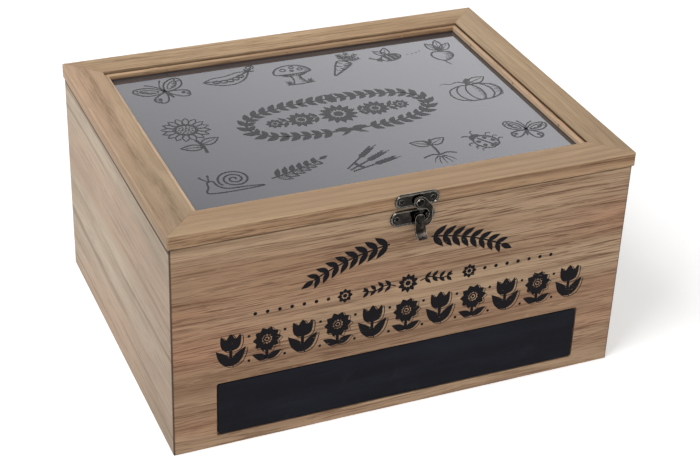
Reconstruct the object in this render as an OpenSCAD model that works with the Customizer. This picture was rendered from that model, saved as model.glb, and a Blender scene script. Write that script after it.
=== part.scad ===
// Wooden seed organizer box with a framed glass lid, a swing-hook latch and a chalkboard plate.
// Millimetres. The origin is the middle of the underside, +X is to the right along the front,
// +Y goes to the hinged back and +Z is up.

/* [Box walls] */
// Outside width of the box
body_w = 280; // [250:5:340]
// Outside depth of the box, front to back
body_d = 218; // [190:2:260]
// Height of the four walls
body_h = 136.5; // [115:0.5:170]
// Thickness of the wall boards
wall_t = 9; // [8:0.5:12]
// Rounding of the upright outer corners
corner_r = 1.2; // [0.8:0.1:2]
// Bevel on the rim and foot of the walls, and on the underside of the lid
edge_bevel = 0.5; // [0.3:0.1:0.8]
// Thickness of the bottom panel
bottom_t = 4; // [3:0.5:6]
// How far the bottom panel reaches in under each wall
bottom_lap = 4; // [3:0.5:5]
// Length of the nails that hold the bottom panel
bottom_nail_l = 14; // [10:1:18]

/* [Dividers] */
// Thickness of the divider boards
divider_t = 5; // [4:0.5:6]
// Height of the divider boards
divider_h = 96; // [60:2:104]
// Depth of the grooves that hold the divider ends
divider_groove = 2.5; // [1.5:0.5:4]
// Bevel on the top edges of the dividers
divider_bevel = 0.8; // [0.4:0.1:1.2]

/* [Lid frame] */
// Thickness of the lid frame
lid_t = 9; // [8.5:0.5:12]
// Flat width of the frame on top
frame_w = 20.5; // [18:0.5:26]
// How far the lid stands out past the front and the sides
lid_overhang = 1; // [0.5:0.1:2]
// Gap between the closed lid and the rim
lid_gap = 0.3; // [0.2:0.1:0.6]
// Rounding of the top outer edge of the frame
arris_r = 1.2; // [0.6:0.1:2]

/* [Glass and beads] */
// Thickness of the glass
glass_t = 2; // [2:0.5:3]
// Width of the ledge that carries the glass
ledge_w = 4.5; // [4:0.5:7]
// Thickness of that ledge
ledge_t = 2; // [1.5:0.25:2.5]
// Width of the glazing beads
bead_w = 2.6; // [2:0.2:3.6]
// How far the bead tops lie below the top of the frame
bead_drop = 1.5; // [0.5:0.25:2]
// Clearance of the glass and the beads in the frame
glazing_gap = 0.3; // [0.2:0.1:0.5]

/* [Chalkboard plate] */
// Width of the plate
plate_w = 227; // [180:1:232]
// Height of the plate
plate_h = 34.7; // [24:0.1:44]
// Thickness of the plate
plate_t = 1.4; // [1:0.2:2.4]
// Height of its lower edge above the table
plate_z = 8.3; // [6:0.1:14]
// Margin between the plate and the edge of its pocket
plate_margin = 0.9; // [0.4:0.1:1.4]
// Rounding of the plate and pocket corners
plate_r = 1.6; // [1:0.2:3]

/* [Hinges] */
// Width of each hinge
hinge_w = 25; // [20:1:34]
// Distance from the box side to the middle of a hinge
hinge_inset = 48; // [30:1:70]
// Height of each leaf from the axis
leaf_h = 8; // [7:0.25:8.5]
// Thickness of the leaf metal
leaf_t = 1; // [0.8:0.1:1.2]
// Radius of the hinge pin
pin_r = 0.95; // [0.8:0.05:1.2]
// Number of knuckles, shared by the two leaves
knuckles = 5; // [3:2:7]
// Length of the wood screws under the head
screw_l = 7; // [5:0.5:8]
// Radius of the screw shank
screw_r = 0.8; // [0.6:0.05:1]

/* [Swing latch] */
// Sideways place of the hook's pivot, from the middle of the box
latch_x = 2.8; // [-30:0.2:30]
// Length of the upper and lower plates
latch_w = 27; // [25:0.5:32]
// Height of the upper plate, on the lid
latch_plate_h = 8.8; // [8:0.2:9]
// Height of the lower plate, on the box
keeper_plate_h = 10; // [8.4:0.2:11]
// Depth of the keeper post's centre below the rim
keeper_drop = 6.5; // [6:0.1:8]
// Thickness of the plates at their raised rim
rim_t = 1.1; // [1:0.05:1.3]
// Thickness of the sunk field inside the rim
field_t = 0.6; // [0.4:0.05:0.8]
// Width of the raised rim
rim_w = 1.2; // [0.8:0.1:1.5]
// Thickness of the hook
hook_t = 1.2; // [1:0.1:1.5]
// How far the hook's arm reaches sideways from the pivot
arm_reach = 7.8; // [7.4:0.1:9]
// Width of the arm where it passes the post
arm_w = 2.1; // [1.8:0.1:2.6]
// Radius of the hook's round head
hook_head_r = 3.6; // [3:0.1:3.8]
// Radius of the keeper post
post_r = 1.9; // [1.4:0.1:2.2]
// Depth of the hook's foot, which lies under the post
foot_h = 3; // [2.5:0.1:3.6]
// Width of the foot and of the thumb tab below it
tab_w = 6.4; // [5.8:0.1:7]
// Angle through which the thumb tab bends outwards
tab_bend = 60; // [30:5:70]
// Length of the nails that hold the plates
nail_l = 7; // [5:0.5:8]

/* [Hidden] */
$fn = 48;

// Clearances
slip = 0.2;         // wood in a wooden groove, each side
turn_gap = 0.05;    // round metal in a round hole, on the radius
run_gap = 0.3;      // between metal parts that move past each other
cut = 1;            // how far a cutting shape runs past the surface it opens

// Inside of the box
inner_w = body_w - 2 * wall_t;
inner_d = body_d - 2 * wall_t;
bottom_nail_r = 0.6;
bottom_nail_head_r = 1.1;
bottom_nail_head_t = 0.5;

// Dividers: two cross boards share the width in three, one long board halves the depth
cross_x = inner_w / 6;
lap_z = bottom_t + divider_h / 2;

// Lid
lid_z = body_h + lid_gap;
lid_w = body_w + 2 * lid_overhang;
lid_d = body_d + lid_overhang;
lid_y = -lid_overhang / 2;
glass_z = lid_z + ledge_t;
bead_z = glass_z + glass_t;
bead_h = lid_z + lid_t - bead_drop - bead_z;
rebate_w = lid_w - 2 * frame_w;
rebate_d = lid_d - 2 * frame_w;
brad_r = 0.4;
brad_head_r = 0.75;
brad_head_t = 0.25;
brad_l = 7;

// Chalkboard plate
plate_sunk = 0.2;
pocket_depth = plate_t + plate_sunk;

// Hinges
barrel_r = pin_r + turn_gap + leaf_t;
hinge_y = body_d / 2 + barrel_r + run_gap;
hinge_z = body_h + lid_gap / 2;
hinge_x = body_w / 2 - hinge_inset;
knuckle_l = hinge_w / knuckles;
screw_head_r = 1.7;
screw_head_t = 0.8;
screw_dome = 0.35;
screw_slot_w = 0.4;
screw_x = hinge_w / 2 - 4;
screw_z = (leaf_h + barrel_r) / 2 + 0.4;

// Swing latch, drawn in the plane of the box front, measured from the hook's pivot
latch_plate_z = lid_z + lid_t / 2;
pivot_z = latch_plate_z - 1.2;
latch_plate_x = latch_x - 1.1;
keeper_x = latch_x - 2.9;
keeper_z = body_h - keeper_drop;
reach = pivot_z - keeper_z;
nail_x = latch_w / 2 - 4;
nail_r = 0.7;
nail_head_r = 1.5;
boss_r = 2.4;
boss_h = rim_t + run_gap - 0.1;
hook_lift = rim_t + run_gap;
hook_top = hook_lift + hook_t;
rivet_r = 1.3;
rivet_head_r = 2.4;
rivet_head_t = 0.8;
post_neck_r = 1.2;
post_head_r = post_r + 1;
post_head_t = 1.3;
jaw_r = reach + post_r + run_gap;
throat_r = (jaw_r - hook_head_r - run_gap) / 2;
throat_x = arm_reach - arm_w - throat_r;
elbow_x = arm_reach - hook_head_r;
elbow_z = -hook_head_r - 1;
foot_z = -jaw_r - foot_h;
tab_r = 6.5;
tab_curl_r = 0.9;
tongue_r = 2.8;

// Outlines

module rounded_rect(w, h, r) {
    square([w - 2 * r, h], center = true);
    square([w, h - 2 * r], center = true);
    for (sx = [-1, 1], sy = [-1, 1])
        translate([sx * (w / 2 - r), sy * (h / 2 - r)]) circle(r);
}

module slot_outline(w, h) {
    square([w - h, h], center = true);
    for (s = [-1, 1]) translate([s * (w - h) / 2, 0]) circle(h / 2);
}

// The share of a mitred frame, len long and across apart, that lies along its -Y side
module mitred_share(len, across, width) {
    polygon([
        [-len / 2, -across / 2], [len / 2, -across / 2],
        [len / 2 - width, -across / 2 + width], [-len / 2 + width, -across / 2 + width]
    ]);
}

function on_circle(r, a) = [r * cos(a), r * sin(a)];

module sector(r, from, to) {
    steps = 8;
    polygon(concat([[0, 0]], [for (i = [0:steps]) on_circle(r, from + (to - from) * i / steps)]));
}

// A square bar centred on an edge along X, which cuts a bevel of that size
module edge_cutter(len, bevel) {
    rotate([45, 0, 0]) cube([len, bevel * sqrt(2), bevel * sqrt(2)], center = true);
}

// Stands a shape drawn upright in X and Y, with its thickness towards the viewer, on the box front
module on_front(x, z, face_y = -body_d / 2) {
    translate([x, face_y, z]) rotate([90, 0, 0]) children();
}

// Fasteners, drawn along +Z with the tip below zero and the head above

module wood_screw(grow = 0) {
    rotate_extrude() polygon([
        [0, -screw_l], [screw_r + grow, -screw_l + 1 - grow], [screw_r + grow, leaf_t - screw_head_t],
        [screw_head_r + grow, leaf_t], [screw_head_r * 0.6, leaf_t + screw_dome], [0, leaf_t + screw_dome]
    ]);
}

module slotted_screw() {
    difference() {
        wood_screw();
        translate([0, 0, leaf_t + screw_dome])
            cube([2 * screw_head_r + cut, screw_slot_w, 2 * screw_dome], center = true);
    }
}

module plate_nail() {
    translate([0, 0, -nail_l]) cylinder(r = nail_r, h = nail_l + field_t);
    translate([0, 0, field_t]) rotate_extrude() polygon([
        [0, 0], [nail_head_r, 0], [nail_head_r, 0.15], [nail_head_r * 0.6, rim_t - field_t],
        [0, rim_t - field_t]
    ]);
}

module nail_hole() {
    translate([0, 0, -nail_l - slip]) cylinder(r = nail_r + turn_gap, h = nail_l + slip + field_t + cut);
}

// Box walls, all cut from one mitred board

module wall_board(len, across) {
    linear_extrude(body_h) intersection() {
        rounded_rect(len, across, corner_r);
        mitred_share(len, across, wall_t);
    }
}

module wall_edges(len, across) {
    for (z = [0, body_h]) translate([0, -across / 2, z]) edge_cutter(len + cut, edge_bevel);
}

module bottom_seat() {
    gap = slip;
    translate([0, 0, bottom_t / 2 - cut / 2]) cube([
        inner_w + 2 * (bottom_lap + gap), inner_d + 2 * (bottom_lap + gap), bottom_t + cut
    ], center = true);
}

module divider_grooves() {
    groove_h = body_h - bottom_t + cut;
    groove_t = divider_t + 2 * slip;
    translate([0, 0, bottom_t + groove_h / 2]) {
        cube([inner_w + 2 * (divider_groove + slip), groove_t, groove_h], center = true);
        for (s = [-1, 1]) translate([s * cross_x, 0, 0])
            cube([groove_t, inner_d + 2 * (divider_groove + slip), groove_h], center = true);
    }
}

// Where the bottom panel is nailed: two to each wall, over the middle of the lap
function bottom_nail_points() = concat(
    [for (sx = [-1, 1], sy = [-1, 1]) [sx * inner_w / 4, sy * (inner_d + bottom_lap) / 2]],
    [for (sx = [-1, 1], sy = [-1, 1]) [sx * (inner_w + bottom_lap) / 2, sy * inner_d / 4]]
);

module bottom_nail(grow = 0) {
    cylinder(r = bottom_nail_r + grow, h = bottom_nail_l + grow);
    cylinder(r1 = bottom_nail_head_r + grow, r2 = bottom_nail_r + grow, h = bottom_nail_head_t);
}

module bottom_nail_holes() {
    for (p = bottom_nail_points()) translate([p[0], p[1], 0]) bottom_nail(turn_gap);
}

module box_wall(len, across, turn) {
    difference() {
        rotate([0, 0, turn]) difference() {
            wall_board(len, across);
            wall_edges(len, across);
        }
        bottom_seat();
        divider_grooves();
        bottom_nail_holes();
    }
}

module plate_pocket() {
    on_front(0, plate_z + plate_h / 2, -body_d / 2 + pocket_depth) linear_extrude(pocket_depth + cut)
        rounded_rect(plate_w + 2 * plate_margin, plate_h + 2 * plate_margin, plate_r);
}

module front_panel() {
    color("#b08c66") difference() {
        box_wall(body_w, body_d, 0);
        plate_pocket();
        for (s = [-1, 1]) on_front(keeper_x + s * nail_x, keeper_z) nail_hole();
    }
}

module back_panel() {
    color("#b08c66") difference() {
        box_wall(body_w, body_d, 180);
        hinge_screw_places(-1) wood_screw(turn_gap);
    }
}

module left_panel() {
    color("#b7977a") box_wall(body_d, body_w, -90);
}

module right_panel() {
    color("#b7977a") box_wall(body_d, body_w, 90);
}

module bottom_panel() {
    color("#c4a684") difference() {
        translate([0, 0, bottom_t / 2])
            cube([inner_w + 2 * bottom_lap, inner_d + 2 * bottom_lap, bottom_t], center = true);
        bottom_nail_holes();
    }
}

module bottom_nails() {
    color("#8f8f90") for (p = bottom_nail_points()) translate([p[0], p[1], 0]) bottom_nail();
}

module chalkboard_plate() {
    color("#23252b") on_front(0, plate_z + plate_h / 2, -body_d / 2 + pocket_depth)
        linear_extrude(plate_t) rounded_rect(plate_w, plate_h, plate_r);
}

// Dividers, halved over each other where they cross

module divider_board(len) {
    difference() {
        translate([0, 0, bottom_t + divider_h / 2]) cube([len, divider_t, divider_h], center = true);
        for (s = [-1, 1]) translate([0, s * divider_t / 2, bottom_t + divider_h])
            edge_cutter(len + cut, divider_bevel);
    }
}

module long_divider() {
    color("#c2a27c") difference() {
        divider_board(inner_w + 2 * divider_groove);
        for (s = [-1, 1]) translate([s * cross_x, 0, lap_z + divider_h / 2])
            cube([divider_t + 2 * slip, divider_t + cut, divider_h], center = true);
    }
}

module cross_divider(side) {
    color("#c2a27c") translate([side * cross_x, 0, 0]) rotate([0, 0, 90]) difference() {
        divider_board(inner_d + 2 * divider_groove);
        translate([0, 0, lap_z - divider_h / 2])
            cube([divider_t + 2 * slip, divider_t + cut, divider_h], center = true);
    }
}

// Lid frame: one section, mitred at the corners

module frame_section() {
    difference() {
        union() {
            translate([0, arris_r]) square([frame_w, lid_t - 2 * arris_r]);
            square([frame_w, lid_t - arris_r]);
            translate([arris_r, lid_t - arris_r]) {
                circle(arris_r);
                square([frame_w - arris_r, arris_r]);
            }
            square([frame_w + ledge_w, ledge_t]);
        }
        rotate(45) square(edge_bevel * sqrt(2), center = true);
    }
}

module frame_stick(len, across, turn) {
    translate([0, lid_y, lid_z]) rotate([0, 0, turn]) intersection() {
        translate([0, -across / 2, 0]) rotate([90, 0, 90])
            linear_extrude(len + cut, center = true) frame_section();
        linear_extrude(lid_t) intersection() {
            rounded_rect(len, across, corner_r);
            mitred_share(len, across, frame_w + ledge_w);
        }
    }
}

// Where the beads are pinned: places along a bead, from its middle
function brad_places(len) = [-len / 3, 0, len / 3];

module frame_side_brads(len, across, turn, grow = 0) {
    translate([0, lid_y, bead_z + bead_h / 2]) rotate([0, 0, turn]) for (x = brad_places(len))
        translate([x, -across / 2 + glazing_gap + bead_w, 0]) rotate([90, 0, 0]) {
            translate([0, 0, -brad_head_t]) cylinder(r = brad_head_r + grow, h = 2 * brad_head_t);
            cylinder(r = brad_r + grow, h = brad_l + grow);
        }
}

module all_brads(grow = 0) {
    for (turn = [0, 180]) frame_side_brads(rebate_w, rebate_d, turn, grow);
    for (turn = [-90, 90]) frame_side_brads(rebate_d, rebate_w, turn, grow);
}

module pinned_stick(len, across, turn) {
    difference() {
        frame_stick(len, across, turn);
        all_brads(turn_gap);
    }
}

module lid_front_rail() {
    color("#b9966c") difference() {
        pinned_stick(lid_w, lid_d, 0);
        for (s = [-1, 1]) on_front(latch_plate_x + s * nail_x, latch_plate_z, -body_d / 2 - lid_overhang)
            nail_hole();
    }
}

module lid_back_rail() {
    color("#b9966c") difference() {
        pinned_stick(lid_w, lid_d, 180);
        hinge_screw_places(1) wood_screw(turn_gap);
    }
}

module lid_left_stile() {
    color("#b9966c") pinned_stick(lid_d, lid_w, -90);
}

module lid_right_stile() {
    color("#b9966c") pinned_stick(lid_d, lid_w, 90);
}

module glass_pane() {
    color([0.55, 0.56, 0.6, 0.6]) translate([0, lid_y, glass_z + glass_t / 2])
        cube([rebate_w - 2 * glazing_gap, rebate_d - 2 * glazing_gap, glass_t], center = true);
}

module bead_section() {
    round_r = bead_w / 3;
    square([bead_w, bead_h - round_r]);
    square([bead_w - round_r, bead_h]);
    translate([bead_w - round_r, bead_h - round_r]) circle(round_r);
}

module glazing_bead(len, across, turn) {
    bead_len = len - 2 * glazing_gap;
    bead_across = across - 2 * glazing_gap;
    color("#c09a70") difference() {
        translate([0, lid_y, bead_z]) rotate([0, 0, turn]) intersection() {
            translate([0, -bead_across / 2, 0]) rotate([90, 0, 90])
                linear_extrude(bead_len, center = true) bead_section();
            linear_extrude(bead_h) mitred_share(bead_len, bead_across, bead_w);
        }
        all_brads(turn_gap);
    }
}

module glazing_brads() {
    color("#9a9a9c") all_brads();
}

// Butt hinges, screwed to the back of the box and of the lid; up is -1 for the box and 1 for the lid

module hinge_screw_places(up) {
    for (side = [-1, 1], s = [-1, 1])
        translate([side * hinge_x + s * screw_x, body_d / 2, hinge_z + up * screw_z])
            rotate([-90, 0, 0]) children();
}

module knuckle_span(index, r, trim) {
    translate([-hinge_w / 2 + index * knuckle_l + trim, hinge_y, hinge_z]) rotate([0, 90, 0])
        cylinder(r = r, h = knuckle_l - 2 * trim);
}

module hinge_leaf(side, up) {
    first = up < 0 ? 0 : 1;
    other = 1 - first;
    color("#6b5a45") difference() {
        translate([side * hinge_x, 0, 0]) difference() {
            union() {
                translate([-hinge_w / 2, body_d / 2, up < 0 ? hinge_z - leaf_h : hinge_z])
                    cube([hinge_w, leaf_t, leaf_h]);
                for (i = [first:2:knuckles - 1]) knuckle_span(i, barrel_r, turn_gap);
            }
            for (i = [other:2:knuckles - 1]) knuckle_span(i, barrel_r + run_gap, -turn_gap);
            translate([-hinge_w, hinge_y, hinge_z]) rotate([0, 90, 0])
                cylinder(r = pin_r + turn_gap, h = 2 * hinge_w);
        }
        hinge_screw_places(up) wood_screw(turn_gap);
    }
}

module hinge_pin(side) {
    color("#7a6a52") translate([side * hinge_x - hinge_w / 2 - 0.4, hinge_y, hinge_z]) rotate([0, 90, 0])
        cylinder(r = pin_r, h = hinge_w + 0.8);
}

module hinge_screws(up) {
    color("#7a6a52") hinge_screw_places(up) slotted_screw();
}

// Swing latch: two embossed plates, a riveted hook with a bent thumb tab, and a headed post

module half_plate_section(h) {
    polygon([
        [0, 0], [h / 2, 0], [h / 2, rim_t * 0.55], [h / 2 - 0.35, rim_t],
        [h / 2 - rim_w + 0.3, rim_t], [h / 2 - rim_w, field_t], [0, field_t]
    ]);
}

module embossed_plate(w, h) {
    for (turn = [0, 180]) rotate([0, 0, turn]) translate([(w - h) / 2, 0, 0])
        rotate([0, 0, -90]) rotate_extrude(angle = 180) half_plate_section(h);
    rotate([90, 0, 90]) linear_extrude(w - h, center = true) {
        half_plate_section(h);
        mirror([1, 0]) half_plate_section(h);
    }
}

module latch_plate() {
    color("#4a4038") on_front(latch_plate_x, latch_plate_z, -body_d / 2 - lid_overhang) difference() {
        union() {
            difference() {
                embossed_plate(latch_w, latch_plate_h);
                translate([latch_x - latch_plate_x, pivot_z - latch_plate_z, field_t])
                    cylinder(r = boss_r, h = rim_t);
            }
            translate([latch_x - latch_plate_x, pivot_z - latch_plate_z, 0])
                cylinder(r = boss_r, h = boss_h);
        }
        translate([latch_x - latch_plate_x, pivot_z - latch_plate_z, -cut])
            cylinder(r = rivet_r + turn_gap, h = rim_t + 2 * cut);
        for (s = [-1, 1]) translate([s * nail_x, 0, 0]) nail_hole();
    }
}

// The lid's front face stands out past the wall, so the post is longer by that overhang
module keeper_plate() {
    color("#4a4038") on_front(keeper_x, keeper_z) difference() {
        embossed_plate(latch_w, keeper_plate_h);
        translate([latch_x - keeper_x, 0, -cut]) cylinder(r = post_neck_r + turn_gap, h = rim_t + 2 * cut);
        for (s = [-1, 1]) translate([s * nail_x, 0, 0]) nail_hole();
    }
}

module keeper_post() {
    head_from = lid_overhang + hook_top + run_gap;
    color("#4a4038") on_front(latch_x, keeper_z) rotate_extrude() polygon([
        [0, turn_gap], [post_neck_r, turn_gap], [post_neck_r, field_t], [post_r, field_t],
        [post_r, head_from], [post_head_r, head_from], [post_head_r, head_from + post_head_t * 0.4],
        [post_head_r * 0.75, head_from + post_head_t * 0.8], [post_head_r * 0.35, head_from + post_head_t],
        [0, head_from + post_head_t]
    ]);
}

module latch_rivet() {
    head_from = hook_top + 0.1;
    color("#8a7c66") on_front(latch_x, pivot_z, -body_d / 2 - lid_overhang) rotate_extrude() polygon([
        [0, turn_gap], [rivet_r, turn_gap], [rivet_r, head_from], [rivet_head_r, head_from],
        [rivet_head_r * 0.9, head_from + rivet_head_t * 0.5],
        [rivet_head_r * 0.5, head_from + rivet_head_t * 0.9], [0, head_from + rivet_head_t]
    ]);
}

module latch_nails() {
    color("#5d5244") for (s = [-1, 1])
        on_front(latch_plate_x + s * nail_x, latch_plate_z, -body_d / 2 - lid_overhang) plate_nail();
}

module keeper_nails() {
    color("#5d5244") for (s = [-1, 1]) on_front(keeper_x + s * nail_x, keeper_z) plate_nail();
}

// A bar with round ends from one point to another
module bar_outline(from, to, r) {
    run = to - from;
    for (p = [from, to]) translate(p) circle(r);
    translate(from) rotate(atan2(run[1], run[0])) translate([0, -r]) square([norm(run), 2 * r]);
}

// The arm leaves the head, turns down past the post and ends in a foot; the post leaves by the mouth
module hook_outline() {
    elbow = [elbow_x, elbow_z];
    heel = [elbow_x, foot_z + hook_head_r];
    throat = [throat_x, throat_r - jaw_r];
    difference() {
        union() {
            bar_outline([0, 0], elbow, hook_head_r);
            bar_outline(elbow, heel, hook_head_r);
            translate([elbow_x - tab_w, foot_z]) square([tab_w, foot_h]);
        }
        translate(throat) circle(throat_r);
        polygon([[0, 0], throat, [throat_x, -jaw_r], [-jaw_r, -jaw_r], [-jaw_r, 0]]);
    }
    circle(hook_head_r);
}

// Side view of the thumb tab below the flat hook: a strip bent outwards, with a rolled end
module tab_side() {
    translate([hook_t + tab_r, 0]) {
        intersection() {
            difference() {
                circle(tab_r + hook_t);
                circle(tab_r);
            }
            sector(2 * tab_r, 180, 180 + tab_bend);
        }
        translate(on_circle(tab_r + hook_t / 2, 180 + tab_bend)) circle(tab_curl_r);
    }
}

module tongue_outline(len) {
    translate([0, tongue_r - len]) square([tab_w, len - tongue_r]);
    for (x = [tongue_r, tab_w - tongue_r]) translate([x, tongue_r - len]) circle(tongue_r);
    translate([tongue_r, -len]) square([tab_w - 2 * tongue_r, tongue_r]);
}

module thumb_tab() {
    tab_len = (tab_r + hook_t) * sin(tab_bend) + tab_curl_r;
    intersection() {
        rotate([90, 0, 90]) linear_extrude(tab_w) mirror([1, 0]) tab_side();
        rotate([90, 0, 0]) linear_extrude(4 * tab_r) tongue_outline(tab_len);
    }
}

module swing_hook() {
    color("#554a40") on_front(latch_x, pivot_z, -body_d / 2 - lid_overhang) translate([0, 0, hook_lift]) {
        difference() {
            linear_extrude(hook_t) hook_outline();
            translate([0, 0, -cut]) cylinder(r = rivet_r + turn_gap, h = hook_t + 2 * cut);
        }
        translate([elbow_x - tab_w, foot_z, 0]) rotate([-90, 0, 0]) thumb_tab();
    }
}

front_panel();
back_panel();
left_panel();
right_panel();
bottom_panel();
bottom_nails();
long_divider();
cross_divider(-1);  // left_cross_divider
cross_divider(1);  // right_cross_divider
chalkboard_plate();
hinge_leaf(-1, -1);  // left_hinge_body_leaf
hinge_leaf(1, -1);  // right_hinge_body_leaf
hinge_pin(-1);  // left_hinge_pin
hinge_pin(1);  // right_hinge_pin
hinge_screws(-1);  // body_hinge_screws
keeper_plate();
keeper_post();
keeper_nails();
lid_front_rail();
lid_back_rail();
lid_left_stile();
lid_right_stile();
glass_pane();
glazing_bead(rebate_w, rebate_d, 0);  // front_glazing_bead
glazing_bead(rebate_w, rebate_d, 180);  // back_glazing_bead
glazing_bead(rebate_d, rebate_w, -90);  // left_glazing_bead
glazing_bead(rebate_d, rebate_w, 90);  // right_glazing_bead
glazing_brads();
hinge_leaf(-1, 1);  // left_hinge_lid_leaf
hinge_leaf(1, 1);  // right_hinge_lid_leaf
hinge_screws(1);  // lid_hinge_screws
latch_plate();
latch_rivet();
latch_nails();
swing_hook();
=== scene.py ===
import math

import bmesh
import bpy
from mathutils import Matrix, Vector


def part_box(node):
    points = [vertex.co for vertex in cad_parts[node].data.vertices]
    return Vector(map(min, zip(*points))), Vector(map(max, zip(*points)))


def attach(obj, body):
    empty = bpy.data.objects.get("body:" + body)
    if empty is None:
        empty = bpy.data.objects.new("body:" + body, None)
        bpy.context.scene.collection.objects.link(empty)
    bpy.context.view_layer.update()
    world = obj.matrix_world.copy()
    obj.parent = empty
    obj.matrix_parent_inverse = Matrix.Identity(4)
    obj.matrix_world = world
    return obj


# A wooden seed organizer box: oiled boards, a smoked glass lid, printed ornaments and aged metal
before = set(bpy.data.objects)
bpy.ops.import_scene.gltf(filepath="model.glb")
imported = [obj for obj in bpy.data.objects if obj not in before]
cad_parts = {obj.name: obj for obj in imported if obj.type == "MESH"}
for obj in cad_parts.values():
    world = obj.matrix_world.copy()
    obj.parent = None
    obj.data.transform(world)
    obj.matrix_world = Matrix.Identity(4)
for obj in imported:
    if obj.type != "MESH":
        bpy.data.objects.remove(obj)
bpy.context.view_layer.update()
MM = 0.001

# Camera of the photograph
CAMERA_PLACE = (-0.3479, -0.8114, 0.5925)
CAMERA_TURN = (58.724, -2.008, -22.645)
CAMERA_LENS = 84.7

# Faces that carry the prints, in metres
FRONT_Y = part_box("front_panel")[0][1]
GLASS_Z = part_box("glass_pane")[1][2]
BEAD_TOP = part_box("front_glazing_bead")[1][2]

# How far a print stands out and reaches down, and the steps between its shapes, in millimetres
PRINT_RISE = 0.03
PRINT_ROOT = 0.02
RISE_STEP = 0.003
RISE_STEPS = 23

# How far the sunk fields of the latch plates stand out from the wood, and a little more, in metres
PLATE_FIELD = 0.00085
KNURL_PITCH = 0.0009
HARDWARE_ROUND = 0.00022

# Outer half sizes of the mitred box walls and of the mitred lid frame
WALL_HALF = (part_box("front_panel")[1][0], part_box("left_panel")[1][1], 0.0)
WALL_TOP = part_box("front_panel")[1][2]
LID_LOW, LID_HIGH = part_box("lid_left_stile")
LID_HALF = (-LID_LOW[0], (LID_HIGH[1] - LID_LOW[1]) / 2, (LID_HIGH[1] + LID_LOW[1]) / 2)
LID_TOP = LID_HIGH[2]
FRAME_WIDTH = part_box("left_glazing_bead")[0][0] - LID_LOW[0]


# Colours


def rgb(red, green, blue):
    """A screen colour from 0 to 255 as the linear colour that shaders take."""
    def linear(part):
        part /= 255
        return part / 12.92 if part <= 0.04045 else ((part + 0.055) / 1.055) ** 2.4
    return (linear(red), linear(green), linear(blue), 1.0)


# Each wood tone: pale early wood, common colour, dark late wood, reddish blush
FRONT_TONE = (rgb(178, 150, 121), rgb(156, 126, 99), rgb(90, 58, 40), rgb(167, 121, 95))
SIDE_TONE = (rgb(190, 174, 155), rgb(168, 150, 129), rgb(118, 97, 74), rgb(186, 160, 140))
LID_TONE = (rgb(200, 172, 138), rgb(178, 149, 115), rgb(108, 78, 50), rgb(182, 148, 114))
STILE_TONE = (rgb(193, 169, 140), rgb(176, 151, 122), rgb(110, 88, 60), rgb(183, 151, 126))
RIGHT_TONE = (rgb(184, 159, 129), rgb(164, 138, 108), rgb(102, 78, 50), rgb(160, 134, 104))
RAIL_TONE = (rgb(176, 144, 112), rgb(157, 124, 95), rgb(92, 62, 40), rgb(168, 112, 82))
BEAD_TONE = (rgb(196, 168, 138), rgb(180, 149, 119), rgb(118, 86, 58), rgb(190, 150, 122))
BACK_BEAD_TONE = (rgb(190, 158, 124), rgb(168, 132, 98), rgb(104, 70, 44), rgb(174, 126, 94))
INNER_TONE = (rgb(198, 178, 152), rgb(182, 159, 132), rgb(140, 112, 84), rgb(188, 158, 132))
# The top of the front rail, painted lighter than its front face as painted light
RAIL_TOP_LIT = rgb(170, 146, 117)

# Each metal: dark skin, worn skin, and bright edges that are worn metal with a painted highlight
GUNMETAL = (rgb(9, 8, 8), rgb(46, 41, 37), rgb(232, 222, 208))
HOOK_GUNMETAL = (rgb(34, 30, 27), rgb(84, 75, 67), rgb(232, 222, 208))
BRONZE = (rgb(86, 68, 46), rgb(128, 104, 70), rgb(190, 164, 118))
STEEL = (rgb(120, 120, 122), rgb(160, 160, 162), rgb(196, 196, 198))

# Each ink: its colour, what shows through it, how much of it is worn, roughness, gloss
PUTTY_INK = (rgb(186, 150, 122), rgb(150, 116, 90), 0.35, 0.5, 0.2)
FRONT_INK = (rgb(16, 13, 16), rgb(122, 98, 76), 0.17, 0.5, 0.12)
GLASS_INK = (rgb(12, 12, 17), rgb(44, 45, 50), 0.2, 0.22, 0.22)

# The faint blue of what glass and ink mirror
COOL = rgb(246, 247, 255)
WHITE = (1.0, 1.0, 1.0, 1.0)


# Node graphs


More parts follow.
